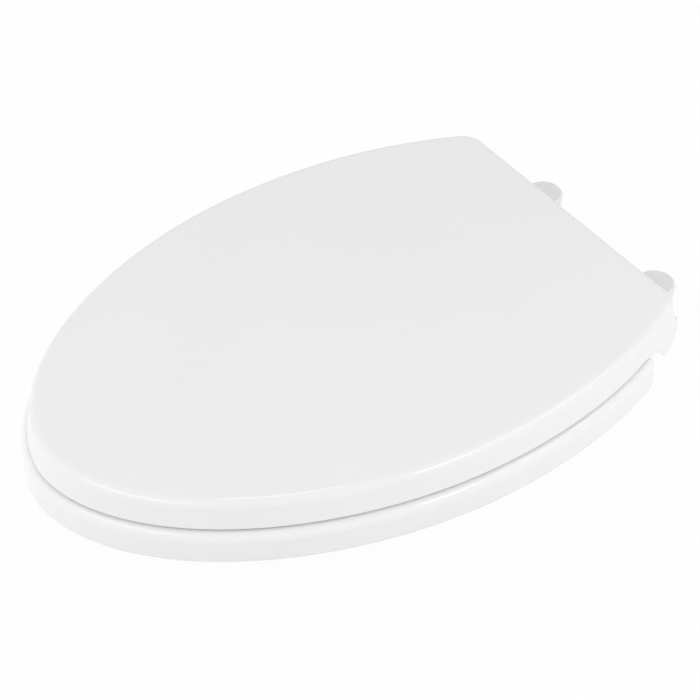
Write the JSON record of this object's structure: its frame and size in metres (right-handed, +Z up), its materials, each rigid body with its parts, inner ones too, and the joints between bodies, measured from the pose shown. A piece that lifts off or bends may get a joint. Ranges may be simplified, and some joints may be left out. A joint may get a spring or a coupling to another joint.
{
  "type": "toilet seat",
  "caption": "Elongated closed-front toilet seat with a flat lid, soft-close dampers in its hinges and round capped feet that bolt to the bowl's rim.",
  "frame": {"origin": "midway between the two bolt holes, on the plane of the bowl's rim", "axes": "+Z up, front of the seat towards -Y, +X to the right of someone facing the hinges"},
  "size_m": [0.3603, 0.5259, 0.057],
  "materials": {
    "white_lid": "glossy moulded white plastic",
    "white_ring": "glossy moulded white plastic",
    "white_hinge": "moulded white plastic",
    "pale_rubber": "matt white rubber",
    "pin_steel": "ground stainless steel",
    "bush_plastic": "natural white bearing plastic",
    "damper_plastic": "dark grey moulded plastic"
  },
  "bodies": {
    "hinge_base": {"hinge_post_left": "white_hinge", "hinge_post_right": "white_hinge", "post_cap_left": "white_hinge", "post_cap_right": "white_hinge", "foot_pad_left": "pale_rubber", "foot_pad_right": "pale_rubber", "hinge_pin_left": "pin_steel", "hinge_pin_right": "pin_steel", "lid_damper_rotor": "bush_plastic", "seat_damper_rotor": "bush_plastic"},
    "lid_body": {"lid": "white_lid", "lid_bush_left": "bush_plastic", "lid_bush_right": "bush_plastic", "lid_damper_barrel": "damper_plastic", "lid_damper_end_cap": "damper_plastic", "lid_bumper_front_left": "pale_rubber", "lid_bumper_front_right": "pale_rubber", "lid_bumper_rear_left": "pale_rubber", "lid_bumper_rear_right": "pale_rubber"},
    "ring_body": {"seat_ring": "white_ring", "ring_base_plate": "white_ring", "ring_bush_left": "bush_plastic", "ring_bush_right": "bush_plastic", "seat_damper_barrel": "damper_plastic", "seat_damper_end_cap": "damper_plastic", "ring_bumper_front_left": "pale_rubber", "ring_bumper_front_right": "pale_rubber", "ring_bumper_rear_left": "pale_rubber", "ring_bumper_rear_right": "pale_rubber"}
  },
  "joints": [
    {"name": "lid_hinge", "type": "hinge", "parent": "hinge_base", "child": "lid_body", "pos_m": [0, -0.047, 0.0255], "axis": [-1, 0, 0], "range_deg": [0, 95]},
    {"name": "ring_hinge", "type": "hinge", "parent": "lid_body", "child": "ring_body", "pos_m": [0, -0.047, 0.0255], "axis": [1, 0, 0], "range_deg": [0, 95]}
  ]
}
